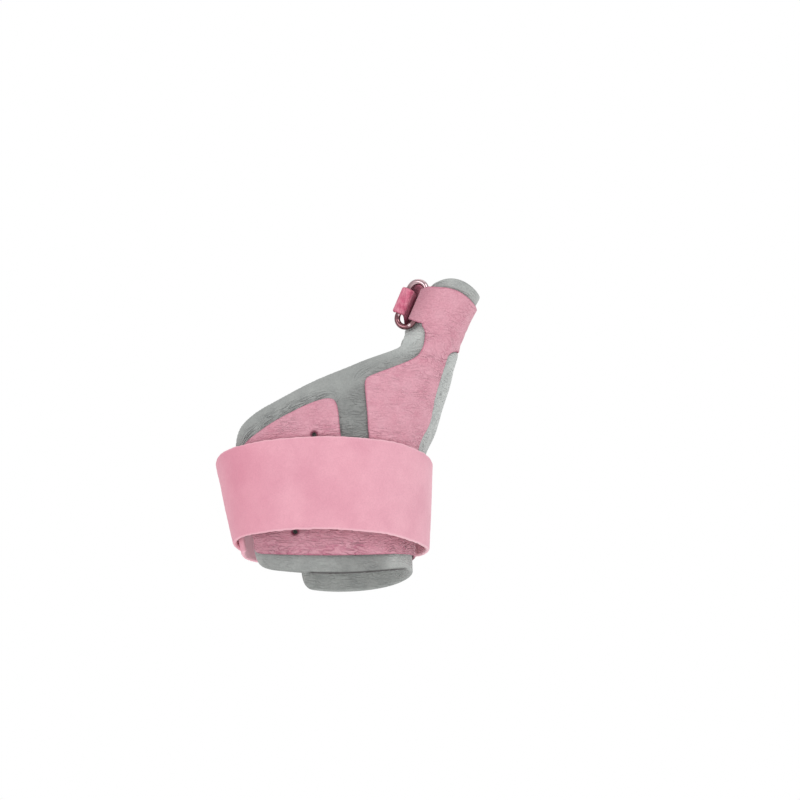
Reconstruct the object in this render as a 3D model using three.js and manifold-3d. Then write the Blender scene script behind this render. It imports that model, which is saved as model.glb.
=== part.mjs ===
// Thumb spica splint in its worn form: a stretch-knit liner under a brushed panel, both wrapped round the
// radial half of the hand and up the thumb, held by a wide wrist strap, with a thumb strap through a wire ring.
// Millimetres. +Z runs from the forearm to the hand, +X points to the thumb side and -Y to the back of the hand.
// The origin is the middle of the wrist strap's loop, at half its height.
import * as THREE from "three";
import { mergeVertices } from "three/addons/utils/BufferGeometryUtils.js";
import Module from "manifold-3d";

const wasm = await Module();
wasm.setup();

// The hand's own sizes, which the splint is shaped on
const wristWidth = 57;
const wristDepth = 40;
const palmWidth = 76;
const palmDepth = 50;
const thumbWidth = 17;
const thumbDepth = 17;

// How far the splint reaches below and above the origin, and how far its edges dip
const hemDrop = 27.5;
const rimHeight = 80.5;
const hemDip = 4.8;
const rimSlope = 2.8;

// Cloth and clearances
const linerWall = 1.2;
const panelWall = 0.9;
const clearance = 0.3;
const layerGap = 0.5;

// Wrist strap
const strapWidth = 36.2;
const strapWall = 1.6;
const strapRise = 0.5;
const strapFlare = 3.3;
const strapSlack = 0.3;
const strapStartDrop = 3.8;
const strapDip = 4;
const strapCorner = 5;

// Openings: the section rows where the panel's two bare strips end, and the punched vents
const middleSlotTopRow = 5.34;
const radialSlotTopRow = 7.1;
const ventDiameter = 2.4;

// Wire ring at the web of the thumb
const wireDiameter = 2.2;
const ringWidth = 9.2;
const ringLength = 20.4;
const ringBelowFold = 7;
const ringSwingDegrees = 24;

// The panel's fold round the ring's inner bar, and the thumb strap round its outer bar
const foldWidth = 14;
const foldTaper = 1.8;
const foldFrom = -2.6;
const foldLift = 0.5;
const thumbStrapWidth = 10.2;
const thumbStrapFrom = -2;
const thumbStrapWall = 1.2;
const rollSlack = 0.4;

const gapToPanel = linerWall + layerGap;
const panelTop = gapToPanel + panelWall;

// Sections of the hand from the hem, row 0, to the thumb's rim, row 10. Height is a share of hemDrop below the
// origin and of rimHeight above it. Width, front and back are shares of the girth's width and depth, across
// and deep are shares of palmWidth, and the rises are shares of hemDip below the origin and rimSlope above it.
const sections = {
  columns: ["height", "girth", "width", "front", "back", "across", "deep", "square", "rise", "backRise", "tilt"],
  rows: [
    [-1.0, "wrist", 0.5, 0.5, 0.5, 0.033, 0.0, 0.03, -1.0, -0.63, 0],
    [-0.62, "wrist", 0.515, 0.52, 0.51, 0.018, 0.0, 0.03, -0.3, -0.2, 0],
    [0.0, "palm", 0.445, 0.46, 0.46, 0.0, 0.0, 0.04, 0, 0, 0],
    [0.22, "palm", 0.481, 0.49, 0.51, -0.018, 0.0, 0.04, 0, 0, 0],
    [0.36, "palm", 0.51, 0.48, 0.52, 0.012, 0.0, 0.04, 0, 0, 0],
    [0.5, "palm", 0.455, 0.41, 0.46, 0.103, 0.0, 0.03, 0, 0, 3],
    [0.61, "palm", 0.35, 0.335, 0.37, 0.243, -0.01, 0.03, 0, 0, 6],
    [0.72, "palm", 0.18, 0.245, 0.26, 0.44, -0.03, 0.02, 0, 0, 8],
    [0.8, "thumb", 0.53, 0.54, 0.54, 0.522, -0.05, 0.0, 0, 0, 10],
    [0.9, "thumb", 0.47, 0.49, 0.49, 0.585, -0.08, 0.0, 0, 0, 10],
    [1.0, "thumb", 0.5, 0.49, 0.49, 0.64, -0.11, 0.0, 1.0, -1.0, 10],
  ],
};

// Edges of the cloth by section row, as turns round the hand in degrees: 0 is the thumb side, -90 the back of
// the hand, 90 the palm and 180 the web or the little finger's side.
const linerEdges = {
  columns: ["row", "dorsal", "palmar"],
  rows: [
    [0.0, -162, 112],
    [0.5, -164, 112],
    [1.5, -160, 111],
    [2.5, -152, 112],
    [3.04, -147.5, 113],
    [3.5, -143, 114],
    [4.0, -133, 115],
    [4.48, -120, 114],
    [5.04, -112, 111],
    [5.65, -105, 107],
    [6.3, -101, 104],
    [6.65, -99, 103],
    [6.88, -106, 107],
    [7.07, -113, 113],
    [7.28, -122, 127],
    [7.48, -133, 150],
    [7.6, -142, 158],
    [7.76, -157, 162],
    [7.86, -163, 164],
    [8.3, -168, 168],
    [10.0, -171, 170],
  ],
};
const panelEdges = {
  columns: ["row", "dorsal", "palmar"],
  rows: [
    [0.52, -154.5, 108],
    [1.5, -155, 107],
    [2.6, -149, 107],
    [2.74, -146, 107],
    [2.9, -141, 106],
    [3.07, -134.5, 105],
    [3.32, -125, 105],
    [3.61, -117.5, 104],
    [3.88, -111, 104],
    [4.14, -104, 103],
    [4.43, -94.5, 101],
    [4.9, -88.5, 99],
    [5.34, -84.1, 96],
    [5.97, -75.5, 91],
    [6.46, -69.5, 88],
    [6.77, -74.6, 91],
    [7.1, -81.6, 95],
    [7.56, -92.5, 106],
    [7.82, -102, 119],
    [7.98, -110.5, 130],
    [8.02, -104.5, 132],
    [8.5, -105.5, 152],
    [9.0, -108, 156],
    [9.62, -113, 158],
  ],
};

// Strips of the liner left bare: one up the back of the hand and one up the thumb side
const middleSlot = {
  columns: ["row", "left", "right"],
  rows: [
    [2.6, -80, -66],
    [3.16, -81.5, -66.7],
    [3.92, -85.3, -71.4],
    [4.2, -87.3, -73.2],
    [4.36, -90.5, -74.5],
    [4.44, -97, -75.2],
    [4.92, -104, -80],
    [middleSlotTopRow, -108, -84.1],
  ],
};
const radialSlot = {
  columns: ["row", "left", "right"],
  rows: [
    [2.6, -26.5, 28],
    [3.5, -26.2, 28],
    [4.46, -26.5, 28],
    [5.5, -30.7, 29],
    [6.3, -34.2, 30],
    [6.75, -36.5, 30],
    [6.95, -35, 26],
    [radialSlotTopRow, -28, 10],
  ],
};

// Rate of change at each station, level at turning points so that no curve overshoots its table
function slopes(at, values) {
  const steps = at.slice(1).map((x, i) => (values[i + 1] - values[i]) / (x - at[i]));
  return at.map((_, i) => {
    if (i === 0) return steps[0];
    if (i === at.length - 1) return steps[i - 1];
    const both = steps[i - 1] * steps[i];
    return both > 0 ? (2 * both) / (steps[i - 1] + steps[i]) : 0;
  });
}

// A smooth curve through a table's column
function curve(at, values) {
  const slope = slopes(at, values);
  return (x) => {
    const i = THREE.MathUtils.clamp(at.findIndex((a) => a > x) - 1, 0, at.length - 2);
    const past = x >= at[at.length - 1];
    const k = past ? at.length - 2 : i;
    const span = at[k + 1] - at[k];
    const f = THREE.MathUtils.clamp((x - at[k]) / span, 0, 1);
    const g = 1 - f;
    return (
      g * g * (1 + 2 * f) * values[k] +
      f * g * g * span * slope[k] +
      f * f * (3 - 2 * f) * values[k + 1] -
      f * f * g * span * slope[k + 1]
    );
  };
}

// One smooth curve for each column of a table, by its first column or by row number
function curves(table, stations) {
  const made = {};
  table.columns.forEach((name, c) => {
    made[name] = curve(stations, table.rows.map((row) => row[c]));
  });
  return made;
}

const girths = {
  wrist: { width: wristWidth, depth: wristDepth },
  palm: { width: palmWidth, depth: palmDepth },
  thumb: { width: thumbWidth, depth: thumbDepth },
};
const sized = {
  columns: ["z", "half", "front", "back", "x", "y", "square", "rise", "backRise", "tilt"],
  rows: sections.rows.map(([height, girth, width, front, back, across, deep, square, rise, backRise, tilt]) => {
    const { width: wide, depth } = girths[girth];
    const above = height > 0;
    const lift = above ? rimSlope : hemDip;
    return [
      height * (above ? rimHeight : hemDrop),
      width * wide,
      front * depth,
      back * depth,
      across * palmWidth,
      deep * palmWidth,
      square,
      rise * lift,
      backRise * lift,
      THREE.MathUtils.degToRad(tilt),
    ];
  }),
};
const lastRow = sized.rows.length - 1;
const form = curves(sized, sized.rows.map((_, i) => i));

// Unit outline of a section: a circle drawn a little towards a square
function around(turn, square) {
  const a = THREE.MathUtils.degToRad(turn);
  return {
    across: (Math.cos(a) - square * Math.cos(3 * a)) / (1 - square),
    deep: (Math.sin(a) + square * Math.sin(3 * a)) / (1 - square),
    slant: Math.sin(a) ** 2,
  };
}

// A point of the hand's surface at a turn and a section row
function skin(turn, row) {
  const { across, deep, slant } = around(turn, form.square(row));
  const reach = form.half(row) * across;
  const tilt = form.tilt(row);
  const rise = (deep > 0 ? form.backRise(row) : form.rise(row)) * slant;
  return new THREE.Vector3(
    form.x(row) + reach * Math.cos(tilt),
    form.y(row) + (deep > 0 ? form.back(row) : form.front(row)) * deep,
    form.z(row) - reach * Math.sin(tilt) + rise,
  );
}

// Outward direction of the hand's surface
const nearTurn = 0.05;
const nearRow = 0.001;

function outward(turn, row) {
  const alongTurn = skin(turn + nearTurn, row).sub(skin(turn - nearTurn, row));
  const alongRow = skin(turn, Math.min(row + nearRow, lastRow)).sub(skin(turn, Math.max(row - nearRow, 0)));
  return alongTurn.cross(alongRow).normalize();
}

// A point at a height off the hand's surface
function over(turn, row, height) {
  return skin(turn, row).addScaledVector(outward(turn, row), height);
}

// A closed solid between two grids of points, the inner and the outer face of a piece of cloth
function cloth(inner, outer) {
  const rows = inner.length;
  const across = inner[0].length;
  const points = [...inner.flat(), ...outer.flat()];
  const id = (side, r, c) => side * rows * across + r * across + c;
  const faces = [];
  const quad = (a, b, c, d) => faces.push([a, b, c], [a, c, d]);
  for (let r = 0; r < rows - 1; r++) {
    for (let c = 0; c < across - 1; c++) {
      quad(id(1, r, c), id(1, r, c + 1), id(1, r + 1, c + 1), id(1, r + 1, c));
      quad(id(0, r, c), id(0, r + 1, c), id(0, r + 1, c + 1), id(0, r, c + 1));
    }
    quad(id(0, r, 0), id(1, r, 0), id(1, r + 1, 0), id(0, r + 1, 0));
    const e = across - 1;
    quad(id(1, r, e), id(0, r, e), id(0, r + 1, e), id(1, r + 1, e));
  }
  for (let c = 0; c < across - 1; c++) {
    quad(id(0, 0, c), id(0, 0, c + 1), id(1, 0, c + 1), id(1, 0, c));
    const e = rows - 1;
    quad(id(1, e, c), id(1, e, c + 1), id(0, e, c + 1), id(0, e, c));
  }
  return closed(points, faces);
}

// A geometry from points and faces, turned to face outwards
function closed(points, faces) {
  const volume = faces.reduce((sum, [a, b, c]) => sum + points[a].dot(points[b].clone().cross(points[c])), 0);
  const index = faces.flatMap(([a, b, c]) => (volume > 0 ? [a, b, c] : [a, c, b]));
  const geometry = new THREE.BufferGeometry().setFromPoints(points);
  geometry.setIndex(index);
  return geometry;
}

// Evenly spaced shares from 0 to 1
const shares = (count) => Array.from({ length: count + 1 }, (_, i) => i / count);

// A layer of cloth on the hand between two edges, from its inner to its outer height
function layer(edges, columns, low, high, rowStep) {
  const stations = edges.rows.map((row) => row[0]);
  const edge = curves(edges, stations);
  const [first, last] = [stations[0], stations[stations.length - 1]];
  const even = shares(Math.round((last - first) / rowStep)).map((s) => first + s * (last - first));
  const apart = rowStep / 4;
  const rows = [...stations, ...even.filter((r) => stations.every((s) => Math.abs(s - r) > apart))];
  rows.sort((a, b) => a - b);
  const [, from, to] = edges.columns;
  const grid = (height) =>
    rows.map((row) =>
      shares(columns).map((s) => over(THREE.MathUtils.lerp(edge[from](row), edge[to](row), s), row, height)),
    );
  return cloth(grid(low), grid(high));
}

// Solids for cutting
function solid(geometry) {
  const plain = geometry.clone();
  plain.deleteAttribute("normal");
  plain.deleteAttribute("uv");
  const merged = mergeVertices(plain);
  return new wasm.Manifold(
    new wasm.Mesh({
      numProp: 3,
      vertProperties: new Float32Array(merged.attributes.position.array),
      triVerts: new Uint32Array(merged.index.array),
    }),
  );
}

function cut(geometry, tools) {
  const left = tools.reduce((body, tool) => body.subtract(solid(tool)), solid(geometry));
  const mesh = left.getMesh();
  const made = new THREE.BufferGeometry();
  made.setAttribute("position", new THREE.BufferAttribute(mesh.vertProperties, 3));
  made.setIndex(new THREE.BufferAttribute(mesh.triVerts, 1));
  return made;
}

// Punched vents through both layers, above and below the wrist strap
const vents = [
  { turn: -94.5, row: 3.17 },
  { turn: -112.3, row: 1.15 },
];
const ventSides = 12;

function vent({ turn, row }) {
  const length = 2 * (panelTop + clearance);
  const out = outward(turn, row);
  return new THREE.CylinderGeometry(ventDiameter / 2, ventDiameter / 2, length, ventSides)
    .applyQuaternion(new THREE.Quaternion().setFromUnitVectors(new THREE.Vector3(0, 1, 0), out))
    .translate(...over(turn, row, length / 4));
}

// The liner: the grey base layer, next to the skin
const linerColumns = 28;
const clothRowStep = 0.4;

function liner() {
  return cut(layer(linerEdges, linerColumns, 0, linerWall, clothRowStep), vents.map(vent));
}

// The panel: the pink layer on the liner, with its two bare strips
const panelColumns = 28;
const slotColumns = 8;

function panel() {
  const [low, high] = [gapToPanel - panelWall, panelTop + panelWall];
  const slots = [middleSlot, radialSlot].map((slot) => layer(slot, slotColumns, low, high, clothRowStep));
  return cut(layer(panelEdges, panelColumns, gapToPanel, panelTop, clothRowStep), [...slots, ...vents.map(vent)]);
}

// The row whose section lies at a height on the hand's axis
const halvings = 30;

function rowAt(height) {
  let [low, high] = [0, lastRow];
  for (let i = 0; i < halvings; i++) {
    const middle = (low + high) / 2;
    if (form.z(middle) < height) low = middle;
    else high = middle;
  }
  return (low + high) / 2;
}

// The wrist strap: one band that starts at the liner's edge on the little finger's side, passes under the palm,
// over the panel and the back of the hand, and closes on its own start
const strapSteps = 76;
const strapRows = 2;
const strapStartTurn = -160;
const strapTurns = { end: -598, liftsAt: -226, restsAt: -243, dropsTo: -215, levelAt: -300 };

// How far the strap's edges lie above or below its own plane at each turn, as shares of strapDip
const strapEdges = {
  columns: ["turn", "top", "bottom"],
  rows: [
    [-180, -0.9, 0.3],
    [-135, -0.38, 0.2],
    [-90, 0.12, 0.2],
    [-60, -0.13, 0],
    [-30, -0.63, -0.38],
    [0, -0.88, -0.25],
    [90, 0.1, 0.45],
    [180, -0.9, 0.3],
  ],
};

function strap() {
  const edge = curves(linerEdges, linerEdges.rows.map((row) => row[0]));
  const dips = curves(strapEdges, strapEdges.rows.map((row) => row[0]));
  const bottom = strapRise - strapWidth / 2;
  const loops = [bottom, bottom + strapWidth].map((z) => {
    const row = rowAt(z);
    const flare = z < 0 ? strapFlare : 0;
    return {
      half: form.half(row) + flare,
      front: form.front(row) + flare,
      back: form.back(row) + flare,
      x: form.x(row),
      square: form.square(row),
    };
  });
  const point = (share, s, wall) => {
    const corner = Math.max(0, 1 - (share * strapLength()) / strapCorner);
    const round = corner > 0 ? strapCorner * (1 - Math.sqrt(1 - corner * corner)) : 0;
    const height = THREE.MathUtils.lerp(round, strapWidth - round, s);
    const start = edge.dorsal(rowAt(bottom - strapStartDrop + height)) - startGap();
    const turn = THREE.MathUtils.lerp(strapTurns.end, start, share);
    const lifted = THREE.MathUtils.smoothstep(-turn, -strapTurns.liftsAt, -strapTurns.restsAt);
    const level = THREE.MathUtils.smoothstep(-turn, -strapTurns.dropsTo, -strapTurns.levelAt);
    const off = THREE.MathUtils.lerp(clearance, panelTop + strapSlack, lifted) + wall;
    const up = height / strapWidth - (strapStartDrop * (1 - level)) / strapWidth;
    const at = (name) => THREE.MathUtils.lerp(loops[0][name], loops[1][name], up);
    const roundTurn = THREE.MathUtils.euclideanModulo(turn + 180, 360) - 180;
    const dip = strapDip * THREE.MathUtils.lerp(dips.bottom(roundTurn), dips.top(roundTurn), s);
    const { across, deep } = around(turn, at("square"));
    return new THREE.Vector3(
      at("x") + (at("half") + off) * across,
      ((deep > 0 ? at("back") : at("front")) + off) * deep,
      bottom + up * strapWidth + dip,
    );
  };
  const grid = (wall) => shares(strapRows).map((s) => shares(strapSteps).map((share) => point(share, s, wall)));
  return cloth(grid(0), grid(strapWall));
}

// Rough length of the wrist strap, for the size of its rounded end
function strapLength() {
  const row = rowAt(strapRise);
  const turns = (strapStartTurn - strapTurns.end) / 360;
  return turns * Math.PI * (form.half(row) + (form.front(row) + form.back(row)) / 2 + 2 * panelTop);
}

// The turn that leaves the clearance between the strap's start and the liner's edge
function startGap() {
  return THREE.MathUtils.radToDeg((2 * clearance) / (wristWidth / 2));
}

// The ring's frame: its long side lies along the web of the thumb, and its plane touches the thumb there
const foldRadius = wireDiameter / 2 + clearance + panelWall;
const foldHeight = linerWall + 2 * clearance + foldRadius;
const foldLow = { turn: -131.5, row: 8.38 };
const foldHigh = { turn: -137.5, row: 9.65 };
const innerBar = over(foldLow.turn, foldLow.row, foldHeight);
const along = over(foldHigh.turn, foldHigh.row, foldHeight).sub(innerBar);
const rowsPerLength = (foldHigh.row - foldLow.row) / along.length();
along.normalize();
const tangent = skin(foldLow.turn - 1, foldLow.row).sub(skin(foldLow.turn + 1, foldLow.row));
tangent.addScaledVector(along, -tangent.dot(along)).normalize();
const swing = THREE.MathUtils.degToRad(ringSwingDegrees);
const across = tangent.clone().applyAxisAngle(along, swing);
const away = along.clone().cross(across);
const barSpacing = ringWidth - wireDiameter;
const ringCorner = barSpacing / 2;

// A point in the ring's frame: along its long side, across from the inner bar to the outer one, and outwards
function ringPoint(l, w, n) {
  return innerBar.clone().addScaledVector(along, l).addScaledVector(across, w).addScaledVector(away, n);
}

// The ring: round wire bent to two half circles, with straight sides between them
const endSteps = 12;
const wireSides = 8;
const halfTurn = 180;

function ring() {
  const low = wireDiameter / 2 - ringBelowFold;
  const high = low + ringLength - wireDiameter;
  const ends = [
    { l: low + ringCorner, from: 0 },
    { l: high - ringCorner, from: halfTurn },
  ];
  const stations = ends.flatMap(({ l, from }) =>
    shares(endSteps).map((s) => ({ l, w: barSpacing / 2, a: THREE.MathUtils.degToRad(from + halfTurn * s) })),
  );
  const sides = shares(wireSides).slice(0, -1);
  const points = stations.flatMap(({ l, w, a }) =>
    sides.map((s) => {
      const t = 2 * Math.PI * s;
      const reach = ringCorner + (wireDiameter / 2) * Math.cos(t);
      return ringPoint(l - reach * Math.sin(a), w + reach * Math.cos(a), (wireDiameter / 2) * Math.sin(t));
    }),
  );
  const faces = stations.flatMap((_, i) => {
    const next = (i + 1) % stations.length;
    return sides.flatMap((_, j) => {
      const k = (j + 1) % sides.length;
      const [a, b, c, d] = [i * wireSides + j, next * wireSides + j, next * wireSides + k, i * wireSides + k];
      return [
        [a, b, c],
        [a, c, d],
      ];
    });
  });
  return closed(points, faces);
}

// A band of cloth about a grid of middle points, one line of points for each station across its width
function band(middle, wall) {
  const [rows, steps] = [middle.length - 1, middle[0].length - 1];
  const face = (side) =>
    middle.map((line, r) =>
      line.map((p, c) => {
        const onward = line[Math.min(c + 1, steps)].clone().sub(line[Math.max(c - 1, 0)]);
        const upward = middle[Math.min(r + 1, rows)][c].clone().sub(middle[Math.max(r - 1, 0)][c]);
        return p.clone().addScaledVector(onward.cross(upward).normalize(), (side * wall) / 2);
      }),
    );
  return cloth(face(-1), face(1));
}

// Points round a bar of the ring, at angles from straight off the thumb towards the outer bar
function roundBar(l, w, radius, { from, to, step }) {
  return shares(Math.round((to - from) / step)).map((s) => {
    const angle = THREE.MathUtils.degToRad(THREE.MathUtils.lerp(from, to, s)) + swing;
    return ringPoint(l, w + radius * Math.sin(angle), radius * Math.cos(angle));
  });
}

const smooth = (points, steps) => new THREE.CatmullRomCurve3(points, false, "centripetal").getSpacedPoints(steps);

// The panel's fold: it carries on from the panel's edge, passes round the ring's inner bar and turns back under.
// Its upper edge comes down by foldTaper over the first steps of its arc, which clears the ring's round end.
const foldStations = 5;
const foldSteps = 26;
const foldTailTurns = 10;
const foldArc = { from: -34, to: 218, step: 28 };
const foldTaperSteps = 2;

function ringFold() {
  const edge = curves(panelEdges, panelEdges.rows.map((row) => row[0]));
  const seam = THREE.MathUtils.radToDeg((1.5 * clearance) / (thumbWidth / 2 + gapToPanel));
  const height = gapToPanel + panelWall / 2;
  const lines = shares(foldStations).map((s) => {
    const l = foldFrom + foldWidth * s;
    const row = foldLow.row + rowsPerLength * l;
    const start = edge.dorsal(row) - seam;
    const tail = shares(2).map((t) => over(start - t * foldTailTurns, row, height + t * foldLift));
    const eye = roundBar(l, 0, foldRadius - panelWall / 2, foldArc);
    eye.forEach((p, i) => p.addScaledVector(along, -s * foldTaper * Math.min(1, i / foldTaperSteps)));
    return smooth([...tail, ...eye], foldSteps);
  });
  return band(lines, panelWall);
}

// The thumb strap: from the palm side of the thumb through the ring, round its outer bar and back on itself
const thumbStrapRows = { low: 8.5, high: 9.78 };
const endTurns = { under: 78, top: 48 };
const leavingTurns = { under: 170, top: 145, underLean: -6, topLean: -9, step: 12.5 };
const pressedTurns = { from: 62, to: 76 };
const rollArc = { from: 232, to: 440, step: 30 };

// Where its two plies pass beside the ring, from each one's place on the bar, as shares of the bars' spacing
const underPass = { up: -0.17, across: 0.46, out: -0.44 };
const topPass = { up: 0.51, across: 1, out: -0.77 };
const thumbStrapSteps = 48;
const thumbStrapStations = 3;

function thumbStrap() {
  const roll = wireDiameter / 2 + rollSlack + thumbStrapWall / 2;
  const under = panelTop + 1.5 * clearance + thumbStrapWall / 2;
  const top = under + thumbStrapWall + clearance;
  const { step, underLean, topLean } = leavingTurns;
  const beside = (l, pass) => ringPoint(l + pass.up * barSpacing, pass.across * barSpacing, pass.out * barSpacing);
  const lines = shares(thumbStrapStations).map((s) => {
    const row = THREE.MathUtils.lerp(thumbStrapRows.low, thumbStrapRows.high, s);
    const points = [];
    const l = thumbStrapFrom + s * thumbStrapWidth;
    for (let turn = endTurns.under; turn <= leavingTurns.under + underLean * s; turn += step) {
      points.push(over(turn, row, under));
    }
    points.push(beside(l, underPass), ...roundBar(l, barSpacing, roll, rollArc), beside(l, topPass));
    for (let turn = leavingTurns.top + topLean * s; turn >= endTurns.top; turn -= step) {
      const onUnder = THREE.MathUtils.smoothstep(turn, pressedTurns.from, pressedTurns.to);
      points.push(over(turn, row, THREE.MathUtils.lerp(under, top, onUnder)));
    }
    return smooth(points, thumbStrapSteps);
  });
  return band(lines, thumbStrapWall);
}

// Finishes
const greyKnit = new THREE.MeshStandardMaterial({ color: 0xa1a2a0, roughness: 0.9, metalness: 0 });
const rosePile = new THREE.MeshStandardMaterial({ color: 0xd79ead, roughness: 0.95, metalness: 0 });
const pinkLoop = new THREE.MeshStandardMaterial({ color: 0xeaa6b7, roughness: 0.95, metalness: 0 });
const deepPink = new THREE.MeshStandardMaterial({ color: 0xd692a1, roughness: 0.95, metalness: 0 });
const steelWire = new THREE.MeshStandardMaterial({ color: 0x9a8a8c, roughness: 0.25, metalness: 1 });

function piece(name, geometry, material) {
  geometry.computeVertexNormals();
  const mesh = new THREE.Mesh(geometry, material);
  mesh.name = name;
  return mesh;
}

const splint = new THREE.Group();
splint.name = "thumb_spica_splint";
splint.add(piece("liner", liner(), greyKnit));
splint.add(piece("panel", panel(), rosePile));
splint.add(piece("wrist_strap", strap(), pinkLoop));
splint.add(piece("ring_fold", ringFold(), rosePile));
splint.add(piece("thumb_ring", ring(), steelWire));
splint.add(piece("thumb_strap", thumbStrap(), deepPink));

export default splint;
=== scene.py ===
import math

import bpy
import numpy as np
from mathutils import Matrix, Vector, kdtree, noise


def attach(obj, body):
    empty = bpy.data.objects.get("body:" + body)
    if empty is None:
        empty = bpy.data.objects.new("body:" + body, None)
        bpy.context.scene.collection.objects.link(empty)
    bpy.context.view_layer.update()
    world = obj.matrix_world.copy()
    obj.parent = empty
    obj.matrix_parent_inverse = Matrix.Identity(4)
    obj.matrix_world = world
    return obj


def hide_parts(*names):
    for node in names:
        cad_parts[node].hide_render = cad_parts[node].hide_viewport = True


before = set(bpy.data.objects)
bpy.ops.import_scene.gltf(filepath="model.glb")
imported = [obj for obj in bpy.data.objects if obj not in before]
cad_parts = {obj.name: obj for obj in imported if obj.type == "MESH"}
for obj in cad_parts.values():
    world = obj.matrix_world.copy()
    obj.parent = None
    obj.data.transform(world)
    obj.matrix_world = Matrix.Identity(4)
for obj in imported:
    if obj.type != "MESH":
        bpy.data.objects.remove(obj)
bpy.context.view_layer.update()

# Studio
# The photograph is lit flat and white from all round. The camera stands well off, a little below the
# splint, and looks up at the back of the hand.
MM = 0.001
FRAME_PIXELS = 800
METRES_PER_PIXEL = 0.38 * MM
WRIST_PIXEL = (328, 502)
CAMERA_ELEVATION = math.radians(-14)
CAMERA_DISTANCE = 2.0
SENSOR = 36.0


def linear(colour):
    """An sRGB hex colour as the linear colour that a shader takes."""
    parts = [int(colour[i : i + 2], 16) / 255 for i in (1, 3, 5)]
    return (*[p / 12.92 if p <= 0.04045 else ((p + 0.055) / 1.055) ** 2.4 for p in parts], 1)


def add(tree, kind, sockets=None, **settings):
    """Adds a node to a tree: settings are its own, and sockets take a value or another node's output."""
    made = tree.nodes.new(kind)
    for name, value in settings.items():
        setattr(made, name, value)
    for name, value in (sockets or {}).items():
        if isinstance(value, bpy.types.NodeSocket):
            tree.links.new(value, made.inputs[name])
        else:
            made.inputs[name].default_value = value
    return made


half_frame = FRAME_PIXELS / 2
aim_x = (half_frame - WRIST_PIXEL[0]) * METRES_PER_PIXEL
aim_z = (WRIST_PIXEL[1] - half_frame) * METRES_PER_PIXEL / math.cos(CAMERA_ELEVATION)
aim = Vector((aim_x, 0, aim_z))
towards_camera = Vector((0, -math.cos(CAMERA_ELEVATION), math.sin(CAMERA_ELEVATION)))
camera = bpy.data.objects.new("camera", bpy.data.cameras.new("camera"))
camera.data.sensor_width = SENSOR
camera.data.lens = SENSOR * CAMERA_DISTANCE / (FRAME_PIXELS * METRES_PER_PIXEL)
camera.location = aim + towards_camera * CAMERA_DISTANCE
camera.rotation_mode = "QUATERNION"
camera.rotation_quaternion = (-towards_camera).to_track_quat("-Z", "Y")
bpy.context.scene.collection.objects.link(camera)
bpy.context.scene.camera = camera
bpy.context.scene.view_settings.view_transform = "Standard"

world = bpy.data.worlds.new("white studio")
world.use_nodes = True
bpy.context.scene.world = world
world.node_tree.nodes.clear()
room_light = add(world.node_tree, "ShaderNodeBackground", {"Color": (1, 1, 1, 1), "Strength": 0.77})
white_paper = add(world.node_tree, "ShaderNodeBackground", {"Color": (1, 1, 1, 1), "Strength": 1.0})
seen = add(world.node_tree, "ShaderNodeLightPath")
sky = add(world.node_tree, "ShaderNodeMixShader", {0: seen.outputs["Is Camera Ray"]})
world.node_tree.links.new(room_light.outputs[0], sky.inputs[1])
world.node_tree.links.new(white_paper.outputs[0], sky.inputs[2])
add(world.node_tree, "ShaderNodeOutputWorld", {"Surface": sky.outputs[0]})

# Lamp: where it hangs, its side in metres and its power in watts
LAMPS = {
    "key": ((0.45, -0.9, 0.75), 0.4, 2.6),
    "fill": ((-0.8, -0.8, 0.15), 0.35, 1.4),
    "top": ((0.1, 0.15, 1.0), 0.8, 1.6),
}
for name, (place, side, watts) in LAMPS.items():
    lamp = bpy.data.objects.new(name, bpy.data.lights.new(name, "AREA"))
    lamp.data.shape = "SQUARE"
    lamp.data.size = side
    lamp.data.energy = watts
    lamp.location = place
    lamp.rotation_mode = "QUATERNION"
    lamp.rotation_quaternion = (aim - Vector(place)).to_track_quat("-Z", "Y")
    bpy.context.scene.collection.objects.link(lamp)

FLOOR_SIDE = 80.0
FLOOR_DROP = 0.62
half_floor = FLOOR_SIDE / 2
floor_mesh = bpy.data.meshes.new("floor")
floor_signs = ((-1, -1), (1, -1), (1, 1), (-1, 1))
floor_corners = [(x * half_floor, y * half_floor, -FLOOR_DROP) for x, y in floor_signs]
floor_mesh.from_pydata(floor_corners, [], [(0, 1, 2, 3)])
floor = bpy.data.objects.new("floor", floor_mesh)
bpy.context.scene.collection.objects.link(floor)
paint = bpy.data.materials.new("matt white paint")
paint.use_nodes = True
paint_shader = paint.node_tree.nodes["Principled BSDF"]
paint_shader.inputs["Base Color"].default_value = linear("#FBFBFA")
paint_shader.inputs["Roughness"].default_value = 0.9
paint_shader.inputs["Emission Color"].default_value = (1, 1, 1, 1)
paint_shader.inputs["Emission Strength"].default_value = 0.2
floor_mesh.materials.append(paint)

# Liner
# The liner is the base layer next to the skin: one cut of grey stretch knit, drawn round the thumb side of
# the hand and up the thumb. It shows as the hems, the upper border and two bare strips. A close, fine knit
# is matt and nearly flat, with soft crinkles where it is drawn sideways.
WRIST = (57 * MM, 40 * MM)
PALM = (76 * MM, 50 * MM)
THUMB = (17 * MM, 17 * MM)
HEM_DROP = 27.5 * MM
RIM_HEIGHT = 80.5 * MM
HEM_DIP = 4.8 * MM
RIM_SLOPE = 2.8 * MM
LINER_WALL = 1.2 * MM
GAP = 0.3 * MM

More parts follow.
